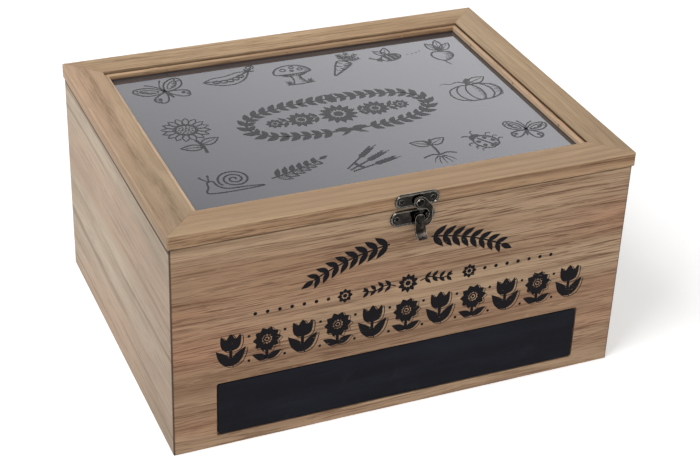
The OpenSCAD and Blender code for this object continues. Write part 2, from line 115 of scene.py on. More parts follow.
class Nodes:
    """The nodes of one tree, with a short call for each kind used here."""

    def __init__(self, tree):
        self.tree = tree

    def node(self, kind, inputs=(), **settings):
        """A new node, with its first inputs fed in order."""
        made = self.tree.nodes.new("ShaderNode" + kind)
        for key, value in settings.items():
            setattr(made, key, value)
        for socket, value in zip(made.inputs, inputs):
            self.feed(socket, value)
        return made

    def feed(self, socket, value):
        """Links an output to a socket, or sets the socket to a plain value."""
        if isinstance(value, bpy.types.NodeSocket):
            self.tree.links.new(value, socket)
        else:
            socket.default_value = value

    def vector(self, operation, first, second):
        made = self.node("VectorMath", (first, second), operation=operation)
        return made.outputs["Value" if operation in ("DISTANCE", "DOT_PRODUCT") else "Vector"]

    def math(self, operation, first, second=0.0, clamp=False):
        made = self.node("Math", (first, second), operation=operation, use_clamp=clamp)
        return made.outputs[0]

    def times(self, first, second, clamp=False):
        return self.math("MULTIPLY", first, second, clamp)

    def axes(self, vector):
        return tuple(self.node("SeparateXYZ", (vector,)).outputs)

    def noise(self, vector, density, detail=2.0, roughness=0.5, output="Fac"):
        """Noise in lumps per metre: density is one number, or one for each axis."""
        density = density if isinstance(density, tuple) else (density, density, density)
        made = self.node("TexNoise", (self.vector("MULTIPLY", vector, density),))
        for key, value in (("Scale", 1.0), ("Detail", detail), ("Roughness", roughness)):
            made.inputs[key].default_value = value
        return made.outputs[output]

    def span(self, value, low, high, start=0.0, end=1.0, kind="SMOOTHSTEP"):
        """A step, smooth or linear: start below low, end above high."""
        made = self.node("MapRange", (value, low, high, start, end), interpolation_type=kind)
        return made.outputs[0]

    def between(self, factor, first, second):
        """A number between two numbers."""
        made = self.node("Mix")
        for index, value in ((0, factor), (2, first), (3, second)):
            self.feed(made.inputs[index], value)
        return made.outputs[0]

    def mix(self, factor, first, second, blend="MIX"):
        """A colour between two colours."""
        made = self.node("Mix", data_type="RGBA", blend_type=blend)
        for index, value in ((0, factor), (6, first), (7, second)):
            self.feed(made.inputs[index], value)
        return made.outputs[2]


class Graph(Nodes):
    """The nodes of one new material."""

    def __init__(self, name):
        self.material = bpy.data.materials.new(name)
        self.material.use_nodes = True
        super().__init__(self.material.node_tree)
        self.shader = self.tree.nodes["Principled BSDF"]
        self.place = self.node("TexCoord").outputs["Object"]

    def set(self, **values):
        """Sets the shader's sockets; an underscore stands for a space in a socket's name."""
        for key, value in values.items():
            self.feed(self.shader.inputs[key.replace("_", " ")], value)

    def bump(self, height, strength, distance):
        made = self.node("Bump", (strength, distance))
        self.feed(made.inputs["Height"], height)
        self.feed(self.shader.inputs["Normal"], made.outputs[0])


# Wood

# How far one seed moves the grain, and where the pith lies, in metres
SEED_STEP = (0.731, 0.417, 0.289)
PITH = (0.11, -0.05)

# Rings as close as this have a short pale part and wander more: number, end of the pale part, wander
CLOSE_RINGS = (100.0, 0.3, 3.6)
WIDE_RINGS = (0.0, 0.72, 1.6)
LATE_END = 0.93

# Noise of the wood: lumps per metre along and across the grain, detail, roughness
SLOW_WAVE = (4.0, 13.0, 2.0)
FINE_WAVE = (14.0, 90.0, 2.0)
RING_WANDER = (2.0, 26.0, 2.0)
PATCH = (16.0, 70.0, 3.0, 0.6)
FIBRE = (46.0, 2300.0, 2.0, 0.6)

# Marks in the wood: their noise, then where the mark starts and where it is full
RING_GAP = ((7.0, 42.0, 2.0), (0.34, 0.6))
BAND = ((2.4, 44.0, 2.0, 0.55), (0.36, 0.64))
WARM = ((3.4, 24.0, 1.0), (0.42, 0.68))
BUSY = ((5.0, 46.0, 2.0), (0.3, 0.66, 0.45, 1.0))
VEIN = ((12.0, 640.0, 3.0, 0.62), (0.51, 0.69))
THREAD = ((30.0, 1400.0, 2.0, 0.58), (0.51, 0.66))
PORE = ((70.0, 1500.0, 1.0), (0.62, 0.72))
FLECK = ((130.0, 900.0, 1.0), (0.66, 0.76))
SPECKLE = ((60.0, 500.0, 3.0, 0.6), (0.35, 0.62, 0.2, 0.6))

MITRE_STAIN = rgb(64, 44, 30)
# Colours for painted shade under the lid, in gaps and at the beads' feet (the rim colour also stains the
# corner joints), and for painted highlights on rounded edges
RIM_SHADE_AND_CORNER_STAIN = rgb(52, 36, 26)
LID_SHADE = rgb(62, 40, 26)
BEAD_SHADE = rgb(50, 29, 20)
LID_HIGHLIGHT = rgb(214, 190, 160)
BEAD_HIGHLIGHT = rgb(226, 202, 172)


def grain_noise(graph, place, along, across, detail=2.0, roughness=0.5, output="Fac"):
    return graph.noise(place, (along, across, across), detail, roughness, output)


def mark(graph, place, kind):
    """The mask of one kind of mark in the wood."""
    noise, reach = kind
    return graph.span(grain_noise(graph, place, *noise), *reach)


def along_grain(graph, grain, seed):
    """Object coordinates turned so that the first one runs along the grain."""
    turn = (0.0, 0.0, -math.pi / 2 if grain == "Y" else 0.0)
    shift = [step * seed for step in SEED_STEP]
    return graph.node("Mapping", (graph.place, shift, turn), vector_type="POINT").outputs[0]


def waved(graph, place, bent, wave, reach):
    """The bent place, moved across the grain by up to half the reach."""
    noise = graph.vector("SUBTRACT", grain_noise(graph, place, *wave, output="Color"), (0.5, 0.5, 0.5))
    return graph.vector("ADD", bent, graph.vector("MULTIPLY", noise, (0.0, reach, reach)))


def late_wood(graph, bent, seed, rings):
    """1 in the dark part of each growth ring. The rings run round a pith that lies outside the board."""
    flat = graph.vector("MULTIPLY", bent, (0.0, 1.0, 1.0))
    pith = (0.0, SEED_STEP[1] * seed + PITH[0], SEED_STEP[2] * seed + PITH[1])
    _, pale_end, wander = CLOSE_RINGS if rings > CLOSE_RINGS[0] else WIDE_RINGS
    uneven = graph.times(grain_noise(graph, bent, *RING_WANDER), wander)
    count = graph.math("ADD", graph.times(graph.vector("DISTANCE", flat, pith), rings), uneven)
    phase = graph.math("FRACT", count)
    late = graph.times(graph.span(phase, pale_end, LATE_END), graph.span(phase, LATE_END, 1.0, 1.0, 0.0))
    return graph.times(late, mark(graph, bent, RING_GAP))


def inwards(graph, half):
    """How far a place lies inside the sides and inside the ends of a rectangular frame."""
    width, depth, middle = half
    x, y, _ = graph.axes(graph.place)
    from_side = graph.math("SUBTRACT", width, graph.math("ABSOLUTE", x))
    from_end = graph.math("SUBTRACT", depth, graph.math("ABSOLUTE", graph.math("SUBTRACT", y, middle)))
    return from_side, from_end


def mitre_line(graph, half):
    """1 on the mitre planes of a rectangular frame, 0 a hair's breadth away from them."""
    gap = graph.math("ABSOLUTE", graph.math("SUBTRACT", *inwards(graph, half)))
    return graph.span(gap, 0.00008, 0.0004, 1.0, 0.0)


def streak_mask(graph, bent, seed, streak):
    """One broken line along a board with its grain along Y; it wanders more than the grain does."""
    place, width = streak
    _, across, _ = graph.axes(bent)
    centre = SEED_STEP[1] * seed - place
    drift = graph.times(grain_noise(graph, bent, 11.0, 3.0), 0.014)
    off = graph.math("ADD", graph.math("SUBTRACT", across, centre), drift)
    away = graph.math("ABSOLUTE", graph.math("SUBTRACT", off, 0.007))
    return graph.times(graph.span(away, 0.1 * width, width, 1.0, 0.0), mark(graph, bent, SPECKLE))


def wood(name, grain, seed, tone, contrast=1.0, rings=210.0, lines=0.5, half=None, cap=None,
        streak=None, shade_ramp=None, edge=None):
    """A board's finish: rings is how many growth lines a metre has, lines their depth and contrast the
    depth of the other marks. half = the frame whose mitres are darkened, cap = (height, colour) tints
    what lies above that height as painted light on the top face, streak = (place along X, width) runs one
    dark line along the board, shade_ramp = (axis, dark place, clear place, level) paints shade that darkens
    one end or side, and edge finishes the edges, mostly with painted light and shade."""
    pale, common, dark, blush = tone
    graph = Graph(name)
    place = along_grain(graph, grain, seed)
    bent = waved(graph, place, place, SLOW_WAVE, 0.009)
    bent = waved(graph, place, bent, FINE_WAVE, 0.0015)
    late = late_wood(graph, bent, seed, rings)
    busy = mark(graph, bent, BUSY)
    vein = mark(graph, bent, VEIN)
    pore = mark(graph, bent, PORE)
    fibre = grain_noise(graph, bent, *FIBRE)

    colour = graph.mix(mark(graph, bent, BAND), common, pale)
    colour = graph.mix(graph.times(mark(graph, bent, WARM), 0.7), colour, blush)
    colour = graph.mix(graph.times(late, lines), colour, dark)
    for mask, depth in ((vein, 0.6), (mark(graph, bent, THREAD), 0.7), (pore, 0.5)):
        depth = graph.times(busy, depth * contrast)
        colour = graph.mix(graph.times(mask, depth, clamp=True), colour, dark)
    colour = graph.mix(graph.times(mark(graph, bent, FLECK), 0.4), colour, pale)
    if streak:
        colour = graph.mix(streak_mask(graph, bent, seed, streak), colour, dark)
    patch = graph.times(grain_noise(graph, bent, *PATCH), 0.28)
    shade = graph.math("ADD", 0.69, graph.math("ADD", graph.times(fibre, 0.38), patch))
    colour = graph.mix(1.0, colour, shade, "MULTIPLY")

    where = graph.axes(graph.place)
    # Painted shade that darkens one end or side of the board
    if shade_ramp:
        axis, dark_place, clear_place, level = shade_ramp
        shadow = graph.span(where[axis], dark_place, clear_place, level, 1.0)
        colour = graph.mix(1.0, colour, shadow, "MULTIPLY")
    # Painted light: the top face is tinted lighter than the faces below it
    if cap:
        height, tint = cap
        colour = graph.mix(graph.span(where[2], height - 0.0004, height + 0.0002, 0.0, 0.55), colour, tint)
    if half:
        colour = graph.mix(graph.times(mitre_line(graph, half), 0.2), colour, MITRE_STAIN)
    # Painted light and shade along the board's edges, and stain at the corner joints
    if edge:
        colour = edge(graph, colour)

    graph.set(Base_Color=colour, IOR=1.45, Specular_IOR_Level=0.22)
    dull = graph.math("ADD", 0.52, graph.times(fibre, 0.16))
    graph.set(Roughness=graph.math("ADD", dull, graph.times(late, 0.08)))
    relief = graph.math("SUBTRACT", graph.times(fibre, 0.5), graph.times(pore, 0.9))
    relief = graph.math("SUBTRACT", relief, graph.times(vein, 0.35))
    graph.bump(relief, 0.45, 0.00018)
    return graph.material


# Edges of the boards, mostly painted light and shade: each mask starts and is full at a place given in
# metres from an edge


def wall_edge(graph, colour):
    """Painted shade darkens the rim under the lid's overhang, deeper on the sides towards the front;
    the four upright corners of a wall are stained dark at the joints.
    """
    x, y, z = graph.axes(graph.place)
    side = graph.span(graph.math("ABSOLUTE", x), WALL_HALF[0] - 0.0009, WALL_HALF[0] - 0.0002)
    end = graph.span(graph.math("ABSOLUTE", y), WALL_HALF[1] - 0.0009, WALL_HALF[1] - 0.0002)
    corner = graph.times(graph.times(side, end), 0.85)
    # Painted shade under the lid's overhang: on the sides it reaches deeper near the front
    deep = graph.span(y, FRONT_Y + 0.02, 0.06, WALL_TOP - 0.0042, WALL_TOP - 0.003)
    side_rim_shade = graph.times(side, graph.span(z, deep, WALL_TOP - 0.0025, 0.0, 0.9))
    # and a thin band of painted shade right under the lid on every wall
    rim = graph.span(z, WALL_TOP - 0.0012, WALL_TOP - 0.0002, 0.0, 0.5)
    dark_band = graph.math("MAXIMUM", graph.math("MAXIMUM", side_rim_shade, rim), corner)
    return graph.mix(dark_band, colour, RIM_SHADE_AND_CORNER_STAIN)


def lid_edge(graph, colour):
    """A painted highlight runs along the lid's rounded top edge; painted shade darkens its lower edge
    and the groove along the beads.
    """
    _, _, z = graph.axes(graph.place)
    # Painted highlight along the rounded top edge
    rising = graph.span(z, LID_TOP - 0.0013, LID_TOP - 0.0006)
    rounded = graph.times(rising, graph.span(z, LID_TOP - 0.0003, LID_TOP - 0.0001, 1.0, 0.0))
    colour = graph.mix(graph.times(rounded, 0.15), colour, LID_HIGHLIGHT)
    # Painted shade along the lid's lower edge, over the gap to the box
    low = graph.span(z, LID_LOW[2] + 0.0001, LID_LOW[2] + 0.0006, 0.4, 0.0)
    depth = graph.math("MINIMUM", *inwards(graph, LID_HALF))
    inside = graph.span(depth, FRAME_WIDTH - 0.0009, FRAME_WIDTH - 0.0004)
    # Painted shade in the groove between the frame and the beads
    groove = graph.times(inside, graph.span(z, BEAD_TOP + 0.0005, BEAD_TOP + 0.0012, 0.9, 0.0))
    return graph.mix(graph.math("MAXIMUM", low, groove), colour, LID_SHADE)


def bead_edge(graph, colour, highlight_level=0.45, dark_band=0.0006):
    """Painted shade darkens a bead's foot at the glass line and its back in the gap to the frame;
    a painted highlight runs along its face.
    """
    _, _, z = graph.axes(graph.place)
    # Painted highlight along the top of the bead's face
    face = graph.span(z, BEAD_TOP - 0.0006, BEAD_TOP - 0.0001, highlight_level, 0.1)
    colour = graph.mix(face, colour, BEAD_HIGHLIGHT)
    # Painted shade at the bead's foot, where it meets the glass
    low = graph.span(z, GLASS_Z + 0.0001, GLASS_Z + dark_band, 0.95, 0.0)
    depth = graph.math("MINIMUM", *inwards(graph, LID_HALF))
    # Painted shade in the gap behind the bead, broken up by noise
    gap = graph.span(depth, FRAME_WIDTH + 0.0002, FRAME_WIDTH + 0.0007, 0.9, 0.0)
    broken = graph.span(graph.noise(graph.place, 70.0, 3.0, 0.6), 0.34, 0.5, 0.3, 1.0)
    return graph.mix(graph.math("MAXIMUM", low, graph.times(gap, broken)), colour, BEAD_SHADE)


def back_bead_edge(graph, colour):
    """The back bead gets less painted highlight, and the painted shade at its foot reaches higher up."""
    return bead_edge(graph, colour, 0.05, 0.0017)


# Other finishes


def near_edge(graph, radius):
    """1 on flat faces, less within the radius of an edge."""
    rounded = graph.node("Bevel", (radius,), samples=4).outputs[0]
    flat = graph.node("NewGeometry").outputs["Normal"]
    return graph.vector("DOT_PRODUCT", rounded, flat)


def metal(name, base, worn, bright, rough, relief=None):
    """Aged metal: a dark skin with a soft cloud of wear, fine pits, painted shade near its edges and in its
    recesses, and bright edges that are partly worn metal and partly a painted highlight. relief is a place
    along Y: what stands out past it is worn a little, the rest is knurled."""
    graph = Graph(name)
    cloud = graph.noise(graph.place, 240.0)
    spot = graph.noise(graph.place, 2600.0, 3.0, 0.6)
    wear = graph.span(graph.math("ADD", cloud, graph.times(spot, 0.25)), 0.56, 0.86)
    # Painted shade: the metal darkens near every edge and in its recesses
    recess_shade = graph.span(near_edge(graph, 0.0014), 0.95, 0.9995, 0.85, 0.0)
    colour = graph.mix(recess_shade, graph.mix(wear, base, worn), rgb(5, 4, 4))
    # Bright edges: worn metal with a painted highlight; the knurled rows and the worn relief add to them
    edge = graph.span(near_edge(graph, 0.00036), 0.8, 0.98, 1.0, 0.0)
    if relief:
        x, y, z = graph.axes(graph.place)
        turn = graph.times(graph.math("ADD", x, z), 2 * math.pi / KNURL_PITCH)
        rows = graph.span(graph.math("SINE", turn), 0.2, 0.95, 0.0, 0.06)
        front = graph.span(y, relief - 0.0002, relief + 0.0001, 1.0, 0.0)
        edge = graph.math("MAXIMUM", edge, graph.between(front, rows, 0.03))
    graph.set(Base_Color=graph.mix(edge, colour, bright), Coat_Weight=0.12, Coat_Roughness=0.1)
    graph.set(Metallic=graph.span(edge, 0.2, 1.0, 1.0, 0.4))
    graph.set(Roughness=graph.math("ADD", rough, graph.times(spot, 0.1)))
    graph.bump(spot, 0.15, 0.00006)
    return graph.material


def chalkboard():
    """Matt blackboard paint with a faint dusting and long wiping marks."""
    graph = Graph("chalkboard")
    wiped = graph.span(grain_noise(graph, graph.place, 16.0, 90.0, 3.0, 0.6), 0.4, 0.75)
    dust = graph.span(graph.noise(graph.place, 60.0, 4.0, 0.65), 0.55, 0.85, 0.0, 0.25)
    paint = graph.mix(wiped, rgb(19, 20, 27), rgb(27, 29, 37))
    grit = graph.noise(graph.place, 2600.0, 2.0, 0.6)
    graph.set(Base_Color=graph.mix(dust, paint, rgb(50, 52, 60)), Specular_IOR_Level=0.12)
    graph.set(Roughness=graph.math("ADD", 0.62, graph.times(grit, 0.2)))
    graph.bump(grit, 0.3, 0.00012)
    return graph.material


def glass():
    """Smoked glass that hides most of the inside and mirrors the room."""
    graph = Graph("smoked_glass")
    haze = graph.noise(graph.place, 9.0, 3.0, 0.6)
    smear = graph.noise(graph.place, (30.0, 90.0, 30.0), 3.0, 0.6)
    graph.set(Base_Color=graph.mix(haze, rgb(62, 61, 65), rgb(74, 72, 76)), IOR=2.1, Alpha=0.86)
    graph.set(Roughness=graph.span(smear, 0.3, 0.8, 0.04, 0.1), Specular_Tint=COOL)
    return graph.material


def ink(name, colour, under, wear, rough, level):
    """Printed ink, with small gaps where what lies under it shows."""
    graph = Graph(name)
    rub = graph.noise(graph.place, (260.0, 1100.0, 1300.0), 3.0, 0.65)
    patch = graph.times(graph.noise(graph.place, (70.0, 90.0, 90.0)), 0.35)
    gone = graph.span(graph.math("ADD", rub, patch), 1.0 - wear, 1.06 - wear)
    graph.set(Base_Color=graph.mix(gone, colour, under), Specular_IOR_Level=level, Specular_Tint=COOL)
    graph.set(Roughness=graph.math("ADD", rough, graph.times(rub, 0.12)))
    return graph.material


# New objects


def placed(name, data):
    made = bpy.data.objects.new(name, data)
    bpy.context.collection.objects.link(made)
    return made


def object_of(name, mesh, material):
    """An object of the scene from a bmesh."""
    data = bpy.data.meshes.new(name)
    mesh.to_mesh(data)
    mesh.free()
    data.materials.append(material)
    return placed(name, data)


# Curves for the prints, in millimetres


def arc(centre, radius, start, end, steps=16):
    """Points on a circle or an ellipse; radius is one number or (across, up), the angles are degrees."""
    wide, high = radius if isinstance(radius, tuple) else (radius, radius)
    angles = [math.radians(start + (end - start) * i / steps) for i in range(steps + 1)]
    return [(centre[0] + wide * math.cos(a), centre[1] + high * math.sin(a)) for a in angles]


def through(points, closed=False, steps=5):
    """A smooth line through the points."""
    count = len(points)
    spans = count if closed else count - 1
    line = []
    for i in range(spans):
        near = [(i + k) % count if closed else min(max(i + k, 0), count - 1) for k in range(-1, 3)]
        ring = [points[k] for k in near]
        for step in range(steps):
            line.append(spline_point(ring, step / steps))
    return line if closed else line + [points[-1]]


def spline_point(ring, t):
    """A point between the middle two of four points."""
    before, here, there, after = ring
    return tuple(
        0.5 * (2 * h + (n - b) * t + (2 * b - 5 * h + 4 * n - a) * t * t + (3 * h - b - 3 * n + a) * t ** 3)
        for b, h, n, a in zip(before, here, there, after)
    )


def leaf_outline(base, tip, width, steps=7):
    """A pointed leaf from base to tip, as a closed outline."""
    run = (tip[0] - base[0], tip[1] - base[1])
    length = math.hypot(*run)
    side = (-run[1] / length, run[0] / length)
    half = [0.5 * width * math.sin(math.pi * (i / steps) ** 0.8) for i in range(steps + 1)]

    def beside(i, h):
        return (base[0] + run[0] * i / steps + side[0] * h, base[1] + run[1] * i / steps + side[1] * h)

    left = [beside(i, h) for i, h in enumerate(half)]
    right = [beside(i, -h) for i, h in enumerate(half)]
    return left[:-1] + [tip] + right[-2:0:-1]


def symmetric(first, half, last):
    """A smooth closed outline from the points of its right half; first and last lie on the middle."""
    return through([first] + half + [last] + [(-u, v) for u, v in half[::-1]], True)


class Print:
    """Thin raised shapes on one face of the box. lay(u, v, rise) gives a point of the model in
    millimetres, and weight widens every line."""

    def __init__(self, lay, weight=1.0):
        self.lay = lay
        self.weight = weight
        self.mesh = bmesh.new()
        self.layers = 0

    def rise(self):
        """Each shape stands a hair higher or lower than the last, so that no two tops share a plane."""
        self.layers += 1
        return PRINT_RISE + RISE_STEP * (self.layers % RISE_STEPS)

    def ring_of(self, points, rise):
        return [self.mesh.verts.new(Vector(self.lay(u, v, rise)) * MM) for u, v in points]

    def fill(self, outline):
        top = self.ring_of(outline, self.rise())
        low = self.ring_of(outline, -PRINT_ROOT)
        self.mesh.faces.new(top)
        self.mesh.faces.new(low[::-1])
        for i in range(len(outline)):
            k = (i + 1) % len(outline)
            self.mesh.faces.new((top[k], top[i], low[i], low[k]))

    def line(self, points, width, closed=False, taper=False):
        """A ribbon along the points; taper thins it towards its end."""
        count = len(points)
        left, right = [], []
        for i, point in enumerate(points):
            before = points[i - 1] if closed else points[max(i - 1, 0)]
            after = points[(i + 1) % count] if closed else points[min(i + 1, count - 1)]
            run = (after[0] - before[0], after[1] - before[1])
            length = math.hypot(*run)
            half = 0.5 * width * self.weight * (1 - 0.85 * i / count if taper else 1)
            side = (-run[1] / length * half, run[0] / length * half)
            left.append((point[0] + side[0], point[1] + side[1]))
            right.append((point[0] - side[0], point[1] - side[1]))
        rise = self.rise()
        rows = [self.ring_of(left, rise), self.ring_of(right, rise),
                self.ring_of(right, -PRINT_ROOT), self.ring_of(left, -PRINT_ROOT)]
        for i in range(count if closed else count - 1):
            k = (i + 1) % count
            for a, b in zip(rows, rows[1:] + rows[:1]):
                self.mesh.faces.new((a[i], b[i], b[k], a[k]))
        if not closed:
            self.mesh.faces.new([row[0] for row in rows][::-1])
            self.mesh.faces.new([row[-1] for row in rows])

    def finish(self, name, body, material):
        """Closes the print as one piece of the scene."""
        bmesh.ops.recalc_face_normals(self.mesh, faces=self.mesh.faces)
        piece = object_of(name, self.mesh, material)
        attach(piece, body)


class Pen:
    """Draws on a print with its own place, turn and size."""

    def __init__(self, sheet, at=(0.0, 0.0), turn=0.0, size=1.0, flip=False):
        self.sheet = sheet
        self.at = at
        self.turn = math.radians(turn)
        self.size = size
        self.flip = -1 if flip else 1

    def moved(self, points):
        cos, sin = math.cos(self.turn) * self.size, math.sin(self.turn) * self.size
        across, up = self.at
        flip = self.flip
        return [(across + flip * u * cos - v * sin, up + flip * u * sin + v * cos) for u, v in points]

    def fill(self, outline):
        self.sheet.fill(self.moved(outline))

    def line(self, points, width=0.6, taper=False):
        self.sheet.line(self.moved(points), width, taper=taper)

    def loop(self, points, width=0.6):
        self.sheet.line(self.moved(points), width, closed=True)

    def dot(self, centre, radius, steps=12):
        self.fill(arc(centre, radius, 0, 360, steps)[:-1])

    def ring(self, centre, radius, width=0.6, steps=20):
        self.loop(arc(centre, radius, 0, 360, steps)[:-1], width)

    def leaf(self, base, tip, width):
        self.fill(leaf_outline(base, tip, width))

    def hatch(self, outline, share=0.45, gap=1.1, width=0.32):
        """Short level strokes that shade the right part of a shape."""
        low, high = min(v for _, v in outline), max(v for _, v in outline)
        height = low + gap
        while height < high - 0.5 * gap:
            ends = []
            for (u, v), (s, t) in zip(outline, outline[1:] + outline[:1]):
                if (v <= height) != (t <= height):
                    ends.append(u + (s - u) * (height - v) / (t - v))
            right, left = max(ends) - 0.2, min(ends)
            inner = right - share * (right - left) * (0.75 + 0.25 * math.sin(2.3 * height))
            if right - inner > 0.6:
                stroke = [(right, height), ((right + inner) / 2, height + 0.1), (inner, height)]
                self.line(stroke, width, taper=True)
            height += gap

    def open_leaf(self, base, tip, width, line=0.5):
        self.loop(leaf_outline(base, tip, width), line)
        run = (tip[0] - base[0], tip[1] - base[1])
        vein = [(base[0] + run[0] * t, base[1] + run[1] * t) for t in (0.0, 0.35, 0.78)]
        self.line(vein, 0.8 * line, taper=True)


def polar(centre, radius, angle):
    turn = math.radians(angle)
    return (centre[0] + radius * math.cos(turn), centre[1] + radius * math.sin(turn))


# Front ornaments

ROW_HEIGHT = 86.0


def front_face(u, v, rise):
    return (u, FRONT_Y / MM - rise, v)


def mirrored(sheet, draw, **place):
    """Draws one side's work twice, the second time as in a mirror."""
    for flip in (False, True):
        draw(Pen(sheet, flip=flip, **place))


def daisy(pen, centre, radius, petals, middle, plump=4.4):
    """A common flower: leaf-shaped petals round a disc."""
    for i in range(petals):
        angle = 90 + 360 * i / petals
        pen.leaf(polar(centre, middle * 1.3, angle), polar(centre, radius, angle), plump * radius / petals)
    pen.dot(centre, middle)


def half_garland(pen):
    """Half of an arched leaf garland: leaves in pairs, with berries between them."""
    centre, radius = (0.0, -6.0), 121.0
    first, last, pairs = 83.4, 61.5, 8
    pen.line(arc(centre, radius, first + 0.6, last, 24), 1.0)
    for i in range(pairs):
        angle = first - (first - last) * i / (pairs - 0.4)
        knot = polar(centre, radius, angle)
        length = 10.4 - 0.35 * i
        for lean in (-43, 43):
            pen.leaf(knot, polar(knot, length, angle - 90 + lean), 3.9 - 0.1 * i)
        if i < pairs - 1:
            berry = polar(centre, radius + 2.9 * (-1) ** i, angle - 1.25)
            pen.dot(berry, 0.8)
    end = polar(centre, radius, last)
    pen.leaf(end, polar(end, 8.6, last - 92), 3.6)


def half_row(pen):
    """Half of the middle row: a sprig beside the middle flower, a small flower and seven dots."""
    height = ROW_HEIGHT
    stem = [(7.6, height), (14.0, height + 1.5), (21.0, height - 1.0), (28.0, height + 0.6)]
    pen.line(through(stem), 0.8)
    for i, lift in enumerate((1.0, 1.0, 0.0, -0.6)):
        knot = (10.6 + 4.6 * i, height + lift)
        for lean in (-46, 46):
            pen.leaf(knot, polar(knot, 5.6 - 0.3 * i, lean), 2.3)
    daisy(pen, (38.6, height), 4.7, 8, 1.3)
    for i in range(7):
        pen.dot((48.6 + 7.2 * i, height), 1.15)


def shaded(pen, outline, offset=(1.3, -1.0), width=0.45):
    """A filled shape with a thin line past its lower right edge, as a drop shadow."""
    pen.fill(outline)
    pen.loop([(u + offset[0], v + offset[1]) for u, v in outline], width)


def frieze_tulip(pen):
    """A bold tulip between two blades."""
    cup = symmetric((0.0, 0.0), [(3.8, 1.2), (5.2, 4.8), (4.9, 9.6), (2.5, 7.2)], (0.0, 10.4))
    pen.line([(0.0, 0.0), (0.0, 5.0), (0.0, 10.6)], 1.9)
    shaded(pen, [(1.15 * u, 1.08 * v + 10.2) for u, v in cup])
    for side in (-1, 1):
        shaded(pen, leaf_outline((side * 0.2, 0.0), (side * 8.8, 11.6), 5.6))


def frieze_flower(pen):
    """A bold round flower on a stem with two short leaves."""
    middle = (0.0, 13.4)
    pen.line([(0.0, 0.0), (0.0, 4.0), (0.0, 8.0)], 1.9)
    for i in range(10):
        petal = leaf_outline(polar(middle, 2.6, 36 * i), polar(middle, 8.3, 36 * i), 4.9)
        shaded(pen, petal, (1.1, -0.8), 0.35)
    pen.ring(middle, 1.9, 0.8)
    pen.dot(middle, 0.9)
    for side in (-1, 1):
        shaded(pen, leaf_outline((0.0, 0.2), (side * 8.8, 4.6), 4.4), (1.0, -0.8), 0.35)


def front_prints(ink_material):
    """The three rows of ornament on the box front."""
    garland = Print(front_face)
    mirrored(garland, half_garland)
    garland.finish("front_leaf_garland", "box", ink_material)

    row = Print(front_face)
    mirrored(row, half_row)
    daisy(Pen(row), (0.0, ROW_HEIGHT), 6.4, 10, 1.7)
    row.finish("front_flower_row", "box", ink_material)

    frieze = Print(front_face)
    count, pitch, foot = 11, 21.2, 54.2
    for i in range(count):
        across = (i - (count - 1) / 2) * pitch
        motif = frieze_flower if i % 2 else frieze_tulip
        motif(Pen(frieze, at=(across, foot)))
        if i:
            Pen(frieze).dot((across - pitch / 2, foot + 1.2), 0.9)
            Pen(frieze).dot((across - pitch / 2, foot + 17.6), 0.9)
    frieze.finish("front_tulip_frieze", "box", ink_material)


# Glass ornaments, each about 30 mm high in its own coordinates


def glass_face(u, v, rise):
    return (u, v, GLASS_Z / MM + rise)


def frond(pen, base, angle, length):
    """A feathery leaf: a stem with leaflets in pairs."""
    tip = polar(base, length, angle)
    pen.line([base, polar(base, length / 2, angle), tip], 0.6, taper=True)
    for i in range(4):
        knot = polar(base, length * (0.34 + 0.19 * i), angle)
        for lean in (-52, 52):
            pen.leaf(knot, polar(knot, 3.4 - 0.4 * i, angle + lean), 1.05)


def spiral(centre, start, end, turns, first=0.0, steps=34):
    """A line that winds outwards from radius start to radius end."""
    return [polar(centre, start + (end - start) * i / steps, first + 360 * turns * i / steps)
            for i in range(steps + 1)]


def carrot(pen):
    root = symmetric((0.0, 5.8), [(4.2, 4.6), (4.3, 0.0), (2.5, -7.5)], (0.0, -15.5))
    pen.loop(root, 0.75)
    pen.hatch(root, 0.4)
    rings = ((2.6, -3.9, -0.6), (0.4, 3.9, 0.4), (-2.2, -3.4, 0.2), (-4.6, 3.0, 0.2), (-7.4, -2.2, 0.4))
    for height, start, end in rings:
        pen.line([(start, height), ((start + end) / 2, height - 0.5), (end, height)], 0.5, taper=True)
    for lean in (-42, -14, 14, 42):
        frond(pen, (0.0, 5.4), 90 + lean, 13.6 - abs(lean) / 12)


def radish(pen):
    root = symmetric((0.0, 2.0), [(5.2, 0.8), (6.4, -4.2), (3.4, -8.8)], (0.0, -10.4))
    pen.loop(root, 0.75)
    pen.hatch(root, 0.45)
    pen.line(through([(0.0, -10.2), (0.6, -13.0), (2.6, -16.0)]), 0.8, taper=True)
    for lean, length in ((-32, 13.5), (0, 16.0), (32, 13.5)):
        base = polar((0.0, 1.6), 2.4, 90 + lean)
        pen.line([(0.0, 1.4), base], 0.8)
        pen.open_leaf(base, polar((0.0, 1.6), length, 90 + lean), 5.4, 0.6)


def pea_pod(pen):
    pod = [(-16.0, 4.0), (-9.0, -4.2), (0.0, -7.2), (9.0, -4.2), (16.0, 4.0),
           (8.5, 1.6), (0.0, 0.2), (-8.5, 1.6)]
    pen.loop(through(pod, True), 0.75)
    pen.line(through([(-16.0, 4.0), (-9.0, 6.2), (0.0, 5.2), (9.0, 6.2), (16.0, 4.0)]), 0.6)
    for i in range(5):
        across = -8.6 + 4.3 * i
        middle = (across, -1.6 + 0.028 * across * across)
        pen.ring(middle, 1.9, 0.6)
        pen.line(arc(middle, 1.1, 200, 290, 5), 0.4)
    pen.line(spiral((19.5, 8.5), 0.6, 3.2, 1.6, 200), 0.5)
    for angle in (40, 100, -20):
        pen.leaf((16.0, 4.0), polar((16.0, 4.0), 4.4, angle), 1.7)


